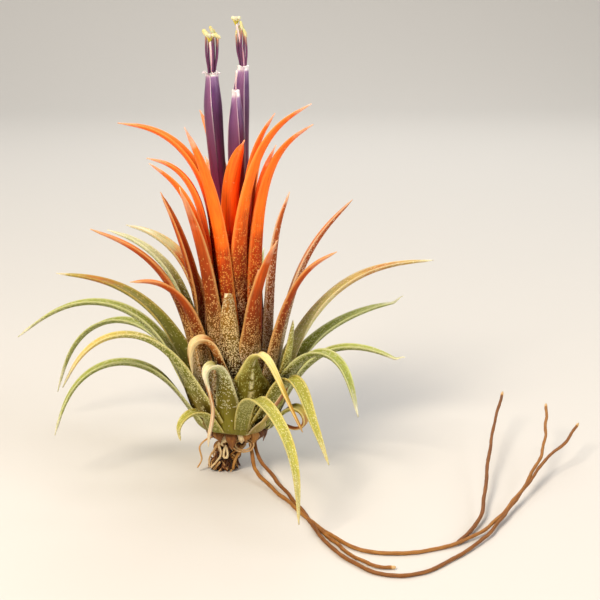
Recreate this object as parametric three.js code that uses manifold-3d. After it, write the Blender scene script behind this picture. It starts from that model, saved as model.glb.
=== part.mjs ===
// A sky plant in flower: a small rosette of narrow channelled leaves on a short crown, green outside and
// orange within, three violet tube flowers rising from its middle, a knot of short dry roots that it stands
// on, and a few long wiry roots that trail over the surface. Millimetres, +Z up, origin on the surface under
// the crown.
import * as THREE from "three";
import { mergeVertices } from "three/addons/utils/BufferGeometryUtils.js";
import Module from "manifold-3d";

const wasm = await Module();
wasm.setup();

// Driving dimensions.
// The crown's outline as radius and height, from its top down to where the roots begin.
const crownOutline = [
  [0, 29.6],
  [3.2, 29.4],
  [5, 27.8],
  [6.9, 23.6],
  [8.5, 19.2],
  [9.5, 16],
  [9.2, 13],
  [7, 10.4],
  [4.4, 9.5],
];
const crownSteps = { down: 14, around: 20 };
const attach = { first: 0.2, last: 0.84 }; // share of the outline where the inmost and the outmost leaf sit
const seat = 0.3; // gap between a piece and what it sits on
const leafThickness = { sheath: 0.62, blade: 1, tip: 0.62 };
const sheathWidth = { inner: 5, outer: 10.6, oldest: 5.2 };
const bladeWidth = { inner: 6.1, outer: 4.4, tip: 0.8, dry: 1.3 };
const sheathWrap = 0.84; // most that a sheath spans, as a share of its distance from the axis
const channel = 0.46; // radius of a blade's channel as a share of its width
const leafStations = 10;

const degrees = THREE.MathUtils.degToRad;
const mix = THREE.MathUtils.lerp;
const ease = THREE.MathUtils.smoothstep;
const at = (x, y, z) => new THREE.Vector3(x, y, z);

let seed = 41;
function random(low, high) {
  seed = (seed * 16807) % 2147483647;
  return mix(low, high, seed / 2147483647);
}

// Materials as the living plant shows them.
const finish = {
  red: new THREE.MeshStandardMaterial({ color: "#e2541c", roughness: 0.55, metalness: 0 }),
  bronze: new THREE.MeshStandardMaterial({ color: "#a9642c", roughness: 0.65, metalness: 0 }),
  green: new THREE.MeshStandardMaterial({ color: "#8d9a4e", roughness: 0.7, metalness: 0 }),
  stem: new THREE.MeshStandardMaterial({ color: "#a89a5c", roughness: 0.8, metalness: 0 }),
  root: new THREE.MeshStandardMaterial({ color: "#8a5a2c", roughness: 0.85, metalness: 0 }),
  petal: new THREE.MeshStandardMaterial({ color: "#5f3b86", roughness: 0.4, metalness: 0 }),
  stamen: new THREE.MeshStandardMaterial({ color: "#6b3f7c", roughness: 0.5, metalness: 0 }),
  calyx: new THREE.MeshStandardMaterial({ color: "#c9a48a", roughness: 0.6, metalness: 0 }),
};

const plant = new THREE.Group();

function add(name, geometry, material) {
  const mesh = new THREE.Mesh(geometry, material);
  mesh.name = name;
  plant.add(mesh);
}

// A closed solid through rings of points that run anticlockwise about the path. The cap lists an end's
// triangles.
function loft(rings, cap) {
  const around = rings[0].length;
  const last = (rings.length - 1) * around;
  const faces = [];
  for (let i = 0; i + 1 < rings.length; i++) {
    for (let j = 0; j < around; j++) {
      const a = i * around + j;
      const b = i * around + ((j + 1) % around);
      faces.push(a, b, b + around, a, b + around, a + around);
    }
  }
  for (const [a, b, c] of cap) faces.push(a, c, b, last + a, last + b, last + c);
  const geometry = new THREE.BufferGeometry().setFromPoints(rings.flat());
  return geometry.setIndex(faces);
}

const fan = (count) => Array.from({ length: count - 2 }, (_, i) => [0, i + 1, i + 2]);

// A round strand along a curve, with its radius changing from one end to the other.
function strand(points, startRadius, endRadius, steps, sides) {
  const curve = new THREE.CatmullRomCurve3(points);
  const frames = curve.computeFrenetFrames(steps, false);
  const rings = [];
  for (let i = 0; i <= steps; i++) {
    const centre = curve.getPointAt(i / steps);
    const radius = mix(startRadius, endRadius, i / steps);
    const ring = [];
    for (let j = 0; j < sides; j++) {
      const turn = (j / sides) * 2 * Math.PI;
      ring.push(
        centre
          .clone()
          .addScaledVector(frames.normals[i], radius * Math.cos(turn))
          .addScaledVector(frames.binormals[i], radius * Math.sin(turn)),
      );
    }
    rings.push(ring);
  }
  return loft(rings, fan(sides));
}

function toSolid(geometry) {
  const flat = geometry.index ? geometry : geometry.clone();
  return new wasm.Manifold(
    new wasm.Mesh({
      numProp: 3,
      vertProperties: new Float32Array(flat.getAttribute("position").array),
      triVerts: new Uint32Array(flat.index.array),
    }),
  );
}

function toGeometry(solid) {
  const mesh = solid.getMesh();
  return new THREE.BufferGeometry()
    .setAttribute("position", new THREE.BufferAttribute(new Float32Array(mesh.vertProperties), 3))
    .setIndex(new THREE.BufferAttribute(new Uint32Array(mesh.triVerts), 1));
}

const join = (geometries) => toGeometry(geometries.map(toSolid).reduce((whole, next) => whole.add(next)));

// The crown is the short stem that every leaf sits on: a small bell, cut flat where the roots begin.
const crownCurve = new THREE.CatmullRomCurve3(crownOutline.map(([r, z]) => at(r, 0, z)));

function makeCrown() {
  const profile = crownCurve.getSpacedPoints(crownSteps.down).map(({ x, z }) => new THREE.Vector2(x, z));
  profile.push(new THREE.Vector2(0, profile.at(-1).y));
  profile[0].x = 0;
  const lathe = new THREE.LatheGeometry(profile.reverse(), crownSteps.around);
  add("crown", lathe.rotateX(Math.PI / 2), finish.stem);
}

// Leaves from the inmost out, as [colour, azimuth, turn, length, lean at the root, lean at the tip, bend].
// The azimuth is where the leaf sits on the crown, anticlockwise from the right, and the turn is how far its
// heading swings by the tip. Leans are degrees from upright. The bend is the share of the length where half
// the bending is done. Then come what sets a leaf apart from its neighbours: a sharpness over 1.7 makes the
// bend a tighter one, dry is the share from which the blade has shrivelled, swing is the share by which the
// turn is done, twist is how far the blade rolls about its own run by the tip, a high taper keeps the blade
// wide until near its tip, and sheath and blade are its own widths.
const leaves = [
  ["red", 311, 42, 56, -1, 34, 0.84],
  ["red", 128, 0, 56, -3, 38, 0.78],
  ["red", 262, 60, 51, -1, 28, 0.85, { twist: -50, taper: 9, blade: 5 }],
  ["red", 45, 0, 51, -3, 36, 0.82],
  ["red", 176.3, -4, 64.5, -4.8, 84, 0.74],
  ["red", 344, 4, 50, -2, 27, 0.84],
  ["red", 92, 0, 55, -2, 45, 0.8],
  ["red", 200, -15, 53, -0.9, 78, 0.83, { sheath: 4.9 }],
  ["red", 282, 61, 66, 1.8, 61, 0.8],
  ["red", 227.6, -24.6, 52, 4.8, 54, 0.8, { sheath: 4.8 }],
  ["red", 317, 20, 61, 0, 59, 0.81],
  ["red", 112, 0, 50, 2, 55, 0.75],
  ["red", 260.4, -44, 59, 4.7, 26, 0.72, { twist: 34, taper: 5, sheath: 4.4, blade: 4.2 }],
  ["bronze", 158, 12, 42, 8.5, 22, 0.6],
  ["bronze", 306.5, 0, 26, 3, 5, 0.6],
  ["bronze", 76, 0, 46, 6, 60, 0.65],
  ["bronze", 240, -20, 47, 6.8, 20, 0.65],
  ["bronze", 341, 10, 44, 2, 20, 0.8],
  ["bronze", 137, 16, 44.1, 11.5, 83, 0.67],
  ["bronze", 293, 33, 37, 7.8, 28, 0.72],
  ["green", 108, 0, 42, 14, 70, 0.6],
  ["bronze", 220.6, -11, 36.2, 9.5, 87, 0.72],
  ["green", 162.2, 5.1, 44, 9.6, 73, 0.66],
  ["bronze", 6.6, -7, 47.5, 9.8, 43, 0.65],
  ["bronze", 264.4, 0, 29, 6, 96, 0.88, { sharpness: 3, taper: 2.8, sheath: 4.2, blade: 5 }],
  ["bronze", 328.4, 22.2, 39, 9.7, 62, 0.75],
  ["bronze", 198.7, -6.5, 48.6, 7.4, 66, 0.63],
  ["green", 78, 6, 42, 18, 85, 0.55],
  ["green", 258.6, -66, 26.4, 14.6, 182, 0.68, { sharpness: 4.4, swing: 0.5, taper: 6, sheath: 5, blade: 5 }],
  ["green", 23.2, -10.1, 51.9, 27.5, 89, 0.58],
  ["green", 147.3, 9, 50.3, 35.1, 90, 0.54],
  ["green", 342, 1, 20, 19, 4, 0.5],
  ["green", 27.7, -2.6, 40.4, 40, 84, 0.49],
  ["green", 289.6, 40, 35.6, 7, 150, 0.44, { sharpness: 6.4 }],
  ["green", 325, -1.2, 38.8, 28.4, 166, 0.59, { sharpness: 2.4 }],
  ["green", 262, -56, 34, 17, 182, 0.44, { sharpness: 6, dry: 0.52, swing: 0.5, sheath: 8 }],
  ["green", 86, 0, 42, 34, 102, 0.5],
  ["green", 184.9, -13.2, 56.8, 17, 129, 0.54],
  ["green", 353.2, -8.9, 36.9, 24.7, 110, 0.53],
  ["green", 222.2, -23, 48.9, 20, 153, 0.63],
  ["green", 98, 0, 44, 42, 125, 0.5],
  ["green", 313.6, -8, 36.8, 27, 146, 0.43, { sharpness: 5 }],
  ["green", 278.2, 23.6, 53.7, 42.5, 178, 0.55, { sheath: 3.6 }],
  ["green", 137.9, 17.9, 64.3, 41.7, 161, 0.55],
  ["green", 199.8, -5.1, 48.4, 28.6, 164, 0.55],
  ["green", 240, -25.6, 17, 34, 190, 0.65, { sheath: 4.6 }],
  ["stem", 300, 24, 17, 46, 34, 0.4, { sheath: 3.4, dry: 0.25 }],
  ["green", 338, -8, 21, 35, 290, 0.53, { sharpness: 2.2, dry: 0.6, sheath: 4 }],
];

// The share of the bending that is done by a share of the leaf's length.
function bending(share, bend, sharpness) {
  const before = share ** sharpness;
  const after = (bend / (1 - bend)) ** sharpness * (1 - share) ** sharpness;
  return before / (before + after);
}

function leafWidth(share, taper, sheath, blade, dry) {
  const full = blade * (1 - share ** taper) ** 0.9 + (sheath - blade) * (1 - ease(share, 0.14, 0.42));
  const shrivelled = mix(full, Math.min(full, bladeWidth.dry), ease(share, dry - 0.12, dry + 0.08));
  return Math.max(bladeWidth.tip, shrivelled);
}

const leafCap = [
  [0, 1, 7],
  [1, 2, 6],
  [1, 6, 7],
  [2, 3, 5],
  [2, 5, 6],
  [3, 4, 5],
];

// One leaf: a sheath that follows the crown's roundness, running into a narrow channelled blade.
function leafGeometry([, azimuth, turn, length, rootLean, tipLean, bend, form = {}], rank, count) {
  const outward = rank / (count - 1);
  const { sharpness = 1.7, dry = 2, swing = 0.7, twist = 0, taper = mix(4.8, 2.1, outward) } = form;
  const seatShare = mix(attach.first, attach.last, outward);
  const root = crownCurve.getPointAt(seatShare);
  const downhill = crownCurve.getTangentAt(seatShare);
  const normal = Math.atan2(-downhill.z, downhill.x);
  const lift = seat + (leafThickness.sheath / 2) * Math.abs(Math.sin(normal - degrees(rootLean)));
  const start = { r: root.x + lift * Math.sin(normal), z: root.z + lift * Math.cos(normal) };
  const full = mix(sheathWidth.inner, sheathWidth.outer, outward ** 2);
  const sheath = form.sheath ?? mix(full, sheathWidth.oldest, ease(outward, 0.78, 1));
  const blade = form.blade ?? mix(bladeWidth.inner, bladeWidth.outer, outward);
  const heading0 = degrees(azimuth);
  const centre = at(start.r * Math.cos(heading0), start.r * Math.sin(heading0), start.z);
  const fine = 12; // integration steps between stations
  const rings = [];
  for (let i = 0; i < leafStations; i++) {
    const share = i / (leafStations - 1);
    const lean = degrees(mix(rootLean, tipLean, bending(share, bend, sharpness)));
    const heading = heading0 + degrees(turn) * ease(share, 0, swing);
    const along = at(Math.sin(lean) * Math.cos(heading), Math.sin(lean) * Math.sin(heading), Math.cos(lean));
    const across = at(-Math.sin(heading), Math.cos(heading), 0);
    across.applyAxisAngle(along, degrees(twist) * ease(share, 0.15, swing));
    const inward = along.clone().cross(across);
    const reach = Math.hypot(centre.x, centre.y);
    const width = Math.min(leafWidth(share, taper, sheath, blade, dry), sheathWrap * reach);
    const hugging = Math.max(0, Math.cos(lean)) / reach;
    const curl = mix(hugging, 1 / (channel * width), ease(share, 0.12, 0.45));
    const thick =
      share < 0.4
        ? mix(leafThickness.sheath, leafThickness.blade, share / 0.4)
        : mix(leafThickness.blade, leafThickness.tip, (share - 0.4) / 0.6);
    const point = (across01, side) => {
      const bow = (across01 * width * curl) / 2;
      const out = across.clone().multiplyScalar(Math.sin(bow)).addScaledVector(inward, -Math.cos(bow));
      const middle = centre
        .clone()
        .addScaledVector(across, Math.sin(bow) / curl)
        .addScaledVector(inward, (1 - Math.cos(bow)) / curl);
      return middle.addScaledVector(out, side * (thick / 2) * (1 - 0.45 * Math.abs(across01)));
    };
    rings.push([
      point(-1, 0),
      point(-0.55, 1),
      point(0, 1),
      point(0.55, 1),
      point(1, 0),
      point(0.55, -1),
      point(0, -1),
      point(-0.55, -1),
    ]);
    for (let k = 0; k < fine; k++) {
      const next = Math.min(1, share + (k + 0.5) / fine / (leafStations - 1));
      const l = degrees(mix(rootLean, tipLean, bending(next, bend, sharpness)));
      const h = heading0 + degrees(turn) * ease(next, 0, swing);
      const step = length / (leafStations - 1) / fine;
      centre.add(at(Math.sin(l) * Math.cos(h), Math.sin(l) * Math.sin(h), Math.cos(l)).multiplyScalar(step));
    }
  }
  return loft(rings, leafCap);
}

function makeLeaves() {
  leaves.forEach((leaf, rank) => {
    const name = `leaf_${String(rank + 1).padStart(2, "0")}`;
    add(name, leafGeometry(leaf, rank, leaves.length), finish[leaf[0]]);
  });
}

// Flowers stand on the crown's flat top. Each row of the path is [x, y, z, tube radius].
const flowers = [
  {
    name: "left",
    path: [
      [-2.05, 0.2, 31.4, 0.75],
      [-2.1, 0.25, 40, 0.8],
      [-2.3, 0.4, 50, 1.15],
      [-3.1, 0.5, 64, 1.6],
      [-4, 0.2, 76, 1.9],
      [-4.4, 0, 84, 2],
      [-4.5, 0, 90, 1.5],
      [-4.5, 0, 91.6, 1.75],
    ],
    stamens: { rise: 8.4, spread: 1.35, sway: [0, 0], anthers: true },
  },
  {
    name: "right",
    path: [
      [1.15, 1.75, 31.4, 0.75],
      [1.3, 1.85, 40, 0.8],
      [1.5, 2, 50, 1.15],
      [1.5, 2, 64, 1.6],
      [1.4, 1.9, 76, 1.9],
      [1.5, 1.8, 84, 2],
      [2.2, 1.6, 91, 1.45],
      [2.5, 1.5, 92.8, 1.6],
    ],
    stamens: { rise: 9.4, spread: 1.2, sway: [-0.12, 0.05], anthers: true },
  },
  {
    name: "front",
    path: [
      [1.05, -1.8, 31.4, 0.75],
      [1.05, -1.9, 40, 0.8],
      [0.9, -2, 50, 1.15],
      [0.8, -2.3, 64, 1.6],
      [0.8, -2.7, 74, 1.85],
      [0.8, -2.8, 80, 1.8],
      [0.8, -2.8, 85.6, 1.2],
      [0.8, -2.8, 87.6, 0.95],
    ],
    stamens: { rise: 4, spread: 0, sway: [0.1, 0], anthers: false },
  },
];
const corolla = { wall: 0.6, sides: 12, steps: 9, hollow: 3, ridge: 0.07, twist: 0.5 };
const calyx = { foot: 29.9, top: 47, wall: 0.6, gap: 0.25, sides: 10 };
const stamen = { gap: 0.3, filament: 0.3, anther: [0.5, 1.1], count: 6 };

const spot = ([x, y, z]) => at(x, y, z);

// Only the upper part of the tube is hollow. A flower's centre and radius at a share of its height.
function flowerAt(flower, share) {
  const centre = new THREE.CatmullRomCurve3(flower.path.map(spot)).getPoint(share);
  const place = share * (flower.path.length - 1);
  const below = Math.min(flower.path.length - 2, Math.floor(place));
  return { centre, radius: mix(flower.path[below][3], flower.path[below + 1][3], place - below) };
}

function level(centre, radius, sides, ripple = () => 1) {
  return Array.from({ length: sides }, (_, j) => {
    const turn = (j / sides) * 2 * Math.PI;
    const reach = radius * ripple(turn);
    return at(centre.x + reach * Math.cos(turn), centre.y + reach * Math.sin(turn), centre.z);
  });
}

// Three petals rolled over one another: a tube with three low ridges, closed at its foot and flared at its
// mouth.
function makePetals(flower) {
  const outside = [];
  const inside = [];
  for (let i = 0; i <= corolla.steps; i++) {
    const share = i / corolla.steps;
    const { centre, radius } = flowerAt(flower, share);
    const rolled = (turn) => {
      const sweep = ((3 * turn) / (2 * Math.PI) + corolla.twist * share + 3) % 1;
      return 1 + corolla.ridge * (sweep - 0.5);
    };
    outside.push(level(centre, radius, corolla.sides, rolled));
    if (i >= corolla.hollow) inside.push(level(centre, radius - corolla.wall, corolla.sides));
  }
  add(`petals_${flower.name}`, loft([...outside, ...inside.reverse()], fan(corolla.sides)), finish.petal);
}

// The sepals make one narrow cup about the foot of the tube.
function makeCalyx(flower) {
  const outside = [];
  const inside = [];
  const low = flower.path[0];
  for (let i = 0; i <= 3; i++) {
    const share = ((calyx.top - low[2]) / (flower.path.at(-1)[2] - low[2])) * (i / 3);
    const { centre, radius } = flowerAt(flower, share);
    const bore = radius * (1 + corolla.ridge / 2) + calyx.gap;
    outside.push(level(centre, bore + calyx.wall * (i === 3 ? 0.6 : 1), calyx.sides));
    inside.push(level(centre, bore, calyx.sides));
  }
  const foot = at(low[0], low[1], calyx.foot);
  const floor = at(low[0], low[1], calyx.foot + calyx.wall);
  outside.unshift(level(foot, 1.2, calyx.sides));
  inside.unshift(level(floor, 0.8, calyx.sides));
  add(`calyx_${flower.name}`, loft([...outside, ...inside.reverse()], fan(calyx.sides)), finish.calyx);
}

// Filaments run up the tube as one bundle and part above the mouth, each with its anther.
function makeStamens(flower) {
  const { rise, spread, sway, anthers } = flower.stamens;
  const first = corolla.hollow / corolla.steps;
  const inTube = [first, 0.5, 0.7, 0.85, 1].map((share) => flowerAt(flower, share));
  const thin = anthers ? 0.6 : 0.3;
  const bundle = inTube.map(({ centre, radius }) => {
    return { centre, radius: Math.max(0.25, Math.min(thin, radius - corolla.wall - stamen.gap)) };
  });
  bundle[0].centre.z += stamen.gap;
  const top = bundle.at(-1).centre;
  const rings = bundle.map(({ centre, radius }) => level(centre, radius, 8));
  const tip = at(top.x + sway[0] * rise, top.y + sway[1] * rise, top.z + rise);
  if (!anthers) {
    const lean = level(tip, 0.3, 8);
    add(`stamens_${flower.name}`, loft([...rings, lean], fan(8)), finish.stamen);
    return;
  }
  const pieces = [loft(rings, fan(8))];
  for (let k = 0; k < stamen.count; k++) {
    const turn = (k / stamen.count) * 2 * Math.PI + 0.4;
    const start = at(top.x + 0.36 * Math.cos(turn), top.y + 0.36 * Math.sin(turn), top.z - 1);
    const height = rise * random(0.8, 1);
    const end = at(
      top.x + sway[0] * height + spread * Math.cos(turn),
      top.y + sway[1] * height + spread * Math.sin(turn),
      top.z + height - 1,
    );
    const axis = at(top.x + (sway[0] * height) / 2, top.y, top.z + height / 2);
    const waist = start.clone().lerp(end, 0.5).lerp(axis, 0.3);
    pieces.push(strand([start, waist, end], stamen.filament, stamen.filament, 3, 4));
    const anther = new THREE.SphereGeometry(1, 6, 4);
    anther.scale(stamen.anther[0], stamen.anther[0], stamen.anther[1]);
    anther.rotateX(random(-0.7, 0.7)).rotateY(random(-0.7, 0.7));
    anther.translate(end.x, end.y, end.z + 0.4);
    pieces.push(mergeVertices(anther.deleteAttribute("uv").deleteAttribute("normal")));
  }
  add(`stamens_${flower.name}`, join(pieces), finish.stamen);
}

// Old roots and leaf bases under the crown, matted into one stump with a flat foot.
const stump = {
  core: [[0, 3.9], [2.4, 2.9], [5, 2.8], [7.4, 3.6], [9, 4.2]], // height and radius
  offset: [[-3.2, -0.6], [-3, -0.5], [-2, -0.3], [-0.8, 0], [0, 0]], // x and y of each core height
  strands: 11,
  strand: 0.55,
};

function makeStump() {
  const rings = stump.core.map(([z, radius], i) => {
    const [x, y] = stump.offset[i];
    const lumps = (turn) => 1 + 0.1 * Math.cos(5 * turn + i) + 0.06 * Math.cos(3 * turn - 2 * i);
    return level(at(x, y, z), radius, 12, lumps);
  });
  const pieces = [loft(rings, fan(12))];
  for (let k = 0; k < stump.strands; k++) {
    const turn = (k / stump.strands) * 2 * Math.PI + random(-0.2, 0.2);
    const path = stump.core.map(([z, radius], i) => {
      const [x, y] = stump.offset[i];
      const swirl = turn + (i - 2) * random(0.1, 0.5);
      const reach = radius + (i === 4 ? -0.9 : random(-0.25, 0.55));
      const height = i === 0 ? -0.6 : z - (i === 4 ? 0.8 : 0);
      return at(x + reach * Math.cos(swirl), y + reach * Math.sin(swirl), height);
    });
    pieces.push(strand(path, stump.strand, stump.strand, 7, 5));
  }
  pieces.push(strand(stumpLoop(1.5, -4.4, 7, 2, 0.3), 0.42, 0.35, 12, 5));
  const stray = [[-3.4, -1, 7.6], [-6, -1.4, 7.8], [-8.6, -2.6, 6], [-8.2, -3.4, 3], [-9.2, -3.6, 1]];
  pieces.push(strand(stray.map(spot), 0.4, 0.32, 7, 5));
  const whole = pieces.map(toSolid).reduce((sum, next) => sum.add(next));
  const passing = longRoots.slice(0, 2).map((points) => longRootTube(points, longRoot.clearance));
  const clear = passing.map(toSolid).reduce((left, next) => left.subtract(next), whole);
  add("root_stump", toGeometry(clear.trimByPlane([0, 0, 1], 0)), finish.root);
}

// A dry strand that curls once round in front of the stump.
function stumpLoop(x, y, z, radius, drift) {
  const points = [at(x - 1.2, y + 2.6, z + 0.6)];
  for (let k = 0; k <= 5; k++) {
    const turn = Math.PI * (0.75 + k * 0.36);
    points.push(at(x + radius * Math.cos(turn), y - drift * k * 0.4, z + radius * Math.sin(turn)));
  }
  return points;
}

// Long roots lie on the surface in a wide bend and lift towards their tips.
const longRoot = { radius: 0.5, tip: 0.38, sides: 5, clearance: 0.14 };
const longRoots = [
  [[3.3, -1.9, 8.4], [3.1, -2.9, 6.4], [3.7, -5.4, 2.8], [7.2, -12, 0.9], [12, -21.6, 0.5], [17, -31.6, 0.5],
    [21.6, -39.4, 0.6], [27, -45.2, 0.5], [35, -46.6, 0.5], [43.5, -44, 0.5], [50, -39.6, 0.9],
    [56, -32.6, 1.4], [62, -22.4, 2.4], [68.4, -9.6, 4.6], [72.6, 3, 7], [75, 16.4, 9.6]],
  [[4.2, -0.2, 8.4], [4.2, -1.5, 6.4], [5.6, -4.6, 3.2], [8.8, -10.4, 1.2], [12.8, -19.6, 0.6],
    [16.6, -31.4, 0.5], [19.6, -40.8, 0.5], [24.4, -49.6, 0.5], [31.4, -56, 0.5], [37.6, -55.2, 0.5],
    [45.4, -48.6, 0.5], [52.4, -40, 0.9], [57.6, -31, 1.5], [63.6, -20.2, 2.6], [71, -7.4, 5],
    [76.4, -1.6, 6.6], [81, 7, 8]],
  [[17, -31.6, 0.5], [21.4, -41.2, 0.5], [25.8, -49, 0.6], [29.4, -52, 0.5], [33.4, -52.8, 0.5]],
  [[46.6, -42.2, 0.6], [51.4, -34.6, 1.2], [54.8, -22, 2.6], [57.6, -7.6, 4.6], [61, 8, 7], [65.6, 24, 10]],
];

function longRootTube(points, clearance) {
  const { radius, tip, sides } = longRoot;
  return strand(points.map(spot), radius + clearance, tip + clearance, points.length + 3, sides);
}

function makeLongRoots() {
  const tubes = longRoots.map((points) => toSolid(longRootTube(points, 0)));
  const whole = tubes.reduce((sum, next) => sum.add(next));
  add("long_roots", toGeometry(whole.trimByPlane([0, 0, 1], 0)), finish.root);
}

makeCrown();
makeLeaves();
for (const flower of flowers) {
  makeCalyx(flower);
  makePetals(flower);
  makeStamens(flower);
}
makeStump();
makeLongRoots();

export default plant;
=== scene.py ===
import math
import random
from functools import partial

import bmesh
import bpy
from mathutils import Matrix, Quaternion, Vector
from mathutils.bvhtree import BVHTree
from mathutils.noise import noise


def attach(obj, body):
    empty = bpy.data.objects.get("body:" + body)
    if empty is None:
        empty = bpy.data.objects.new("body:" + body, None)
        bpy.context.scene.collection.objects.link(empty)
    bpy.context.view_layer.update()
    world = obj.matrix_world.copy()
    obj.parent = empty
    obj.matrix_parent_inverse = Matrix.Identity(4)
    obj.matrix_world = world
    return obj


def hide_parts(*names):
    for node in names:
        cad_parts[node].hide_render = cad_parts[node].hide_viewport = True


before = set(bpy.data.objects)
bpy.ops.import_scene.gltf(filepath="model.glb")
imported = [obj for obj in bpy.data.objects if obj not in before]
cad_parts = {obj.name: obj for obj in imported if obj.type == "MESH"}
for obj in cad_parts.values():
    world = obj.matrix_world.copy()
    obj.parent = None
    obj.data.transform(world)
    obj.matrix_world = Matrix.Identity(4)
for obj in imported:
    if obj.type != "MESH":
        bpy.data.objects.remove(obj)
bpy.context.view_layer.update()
scene = bpy.context.scene

# The plant stands on a plain sweep of pale paper and is seen a little from above, as in the photo. One large
# soft lamp stands to the left in front of it, a smaller one to the right, and a pale sky fills the shadows.
CAMERA_PLACE = (0.0146, -0.2797, 0.1153)
CAMERA_PITCH = 15  # degrees below level
CAMERA_LENS = 76.6
LAMPS = {  # place, what it points at, watts, side in metres, colour
    "lamp_key": ((-0.26, -0.42, 0.5), (0, 0, 0.04), 5.6, 0.22, "#fff0dc"),
    "lamp_fill": ((0.55, -0.25, 0.3), (0, 0, 0.04), 2.3, 0.4, "#f4f3f6"),
    "lamp_back": ((0.1, 0.6, 0.55), (0, 0, 0.04), 1.6, 0.4, "#ffffff"),
    "lamp_paper": ((0.0, 0.35, 1.3), (0, 1.1, 0.2), 7.0, 0.9, "#ffffff"),
}
SKY = ("#f1f0ee", 0.26)  # colour and strength
SWEEP_SIDES = (-2.5, 2.5)  # metres
SWEEP_BEND = (0.7, 0.4)  # where the paper starts to rise behind the plant, and the radius of its bend


def linear(colour):
    """An sRGB hex colour as linear red, green, blue and alpha."""
    parts = [int(colour[i : i + 2], 16) / 255 for i in (1, 3, 5)]
    return [c / 12.92 if c <= 0.04045 else ((c + 0.055) / 1.055) ** 2.4 for c in parts] + [1]


def add_node(tree, kind, inputs=(), out=0, stops=(), **settings):
    """Adds a node with its settings, its colour stops and what goes into it, in order or by socket, and gives
    one of its outputs."""
    made = tree.nodes.new("ShaderNode" + kind)
    for setting, value in settings.items():
        setattr(made, setting, value)
    for socket, value in inputs.items() if isinstance(inputs, dict) else enumerate(inputs):
        if isinstance(value, bpy.types.NodeSocket):
            tree.links.new(value, made.inputs[socket])
        else:
            made.inputs[socket].default_value = value
    for i, (place, colour) in enumerate(dict(stops).items()):
        stop = made.color_ramp.elements[i] if i < 2 else made.color_ramp.elements.new(place)
        stop.position = place
        stop.color = linear(colour)
    return made.outputs[out]


def start_material(name, **constants):
    """A material, whose constant sockets are given with _ for each space, and what adds a node to it."""
    material = bpy.data.materials.new(name)
    material.use_nodes = True
    surface = material.node_tree.nodes["Principled BSDF"]
    for socket, value in constants.items():
        surface.inputs[socket.replace("_", " ")].default_value = value
    return material, partial(add_node, material.node_tree)


def finish_material(material, colour, relief=None):
    """Links a material's colour and relief to its surface."""
    tree = material.node_tree
    surface = tree.nodes["Principled BSDF"]
    tree.links.new(colour, surface.inputs["Base Color"])
    if relief:
        tree.links.new(relief, surface.inputs["Normal"])


camera = bpy.data.objects.new("camera", bpy.data.cameras.new("camera"))
camera.data.lens = CAMERA_LENS
camera.location = CAMERA_PLACE
camera.rotation_euler = (math.radians(90 - CAMERA_PITCH), 0, 0)
scene.collection.objects.link(camera)
scene.camera = camera

for name, (place, aim, watts, side, colour) in LAMPS.items():
    lamp = bpy.data.objects.new(name, bpy.data.lights.new(name, "AREA"))
    lamp.data.energy = watts
    lamp.data.size = side
    lamp.data.color = linear(colour)[:3]
    lamp.location = place
    lamp.rotation_euler = (Vector(aim) - Vector(place)).to_track_quat("-Z", "Y").to_euler()
    scene.collection.objects.link(lamp)

scene.world = bpy.data.worlds.new("sky")
scene.world.use_nodes = True
sky = scene.world.node_tree.nodes["Background"]
sky.inputs["Color"].default_value = linear(SKY[0])
sky.inputs["Strength"].default_value = SKY[1]
scene.view_settings.view_transform = "Standard"

bend, radius = SWEEP_BEND
line = [(-1.6, 0), (-0.6, 0), (0.4, 0), (bend, 0)]
for turn in range(5, 90, 5):
    angle = math.radians(turn)
    line.append((bend + radius * math.sin(angle), radius - radius * math.cos(angle)))
line += [(1.1, 0.5), (1.1, 1.6)]
sheet = bpy.data.meshes.new("floor")
corners = [(x, y, z) for y, z in line for x in SWEEP_SIDES]
sheet.from_pydata(corners, [], [(2 * k, 2 * k + 1, 2 * k + 3, 2 * k + 2) for k in range(len(line) - 1)])
sheet.shade_smooth()
floor = bpy.data.objects.new("floor", sheet)
scene.collection.objects.link(floor)
# Uncoated paper: dead matt, with a hardly visible mottle.
paper, node = start_material("matt_paper", Roughness=0.9, Base_Color=linear("#cfccc6"))
mottle = node("TexNoise", {"Scale": 3.0, "Detail": 2.0})
tone = node("ValToRGB", [mottle], stops={0.3: "#cdcac4", 0.7: "#d1cec9"})
finish_material(paper, tone)
floor.data.materials.append(paper)

# The crown is the short stem inside the rosette: pale corky tissue ringed with the scars of old leaves. Only
# its underside shows, between the lowest sheaths and the root stump.
CROWN_OUTLINE = [  # radius and height in mm, from the top down
    *((0, 29.6), (3.2, 29.4), (5, 27.8), (6.9, 23.6), (8.5, 19.2)),
    *((9.5, 16), (9.2, 13), (7, 10.4), (4.4, 9.5)),
]
CROWN_DOWN = 72
CROWN_AROUND = 96
SCAR_PITCH = 1.1  # mm between leaf scars
SCAR_DEPTH = 0.09
LUMP_DEPTH = 0.12
CROWN_INSET = 0.12  # mm that the tissue lies inside the outline
SCAR_RIM = 0.1  # mm, the most that it rises again beside a scar


def through(points, share):
    """The point at a share of the way along the rounded curve through the points."""
    place = share * (len(points) - 1)
    i = min(int(place), len(points) - 2)
    t = place - i
    b, c = Vector(points[i]), Vector(points[i + 1])
    a = Vector(points[i - 1]) if i else 2 * b - c
    d = Vector(points[i + 2]) if i + 2 < len(points) else 2 * c - b
    ab, bc, cd = (max((q - p).length, 1e-6) ** 0.5 for p, q in ((a, b), (b, c), (c, d)))
    start = ((b - a) / ab - (c - a) / (ab + bc) + (c - b) / bc) * bc
    end = ((c - b) / bc - (d - b) / (bc + cd) + (d - c) / cd) * bc
    rise = 3 * t**2 - 2 * t**3
    return (1 - rise) * b + rise * c + (t**3 - 2 * t**2 + t) * start + (t**3 - t**2) * end


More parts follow.
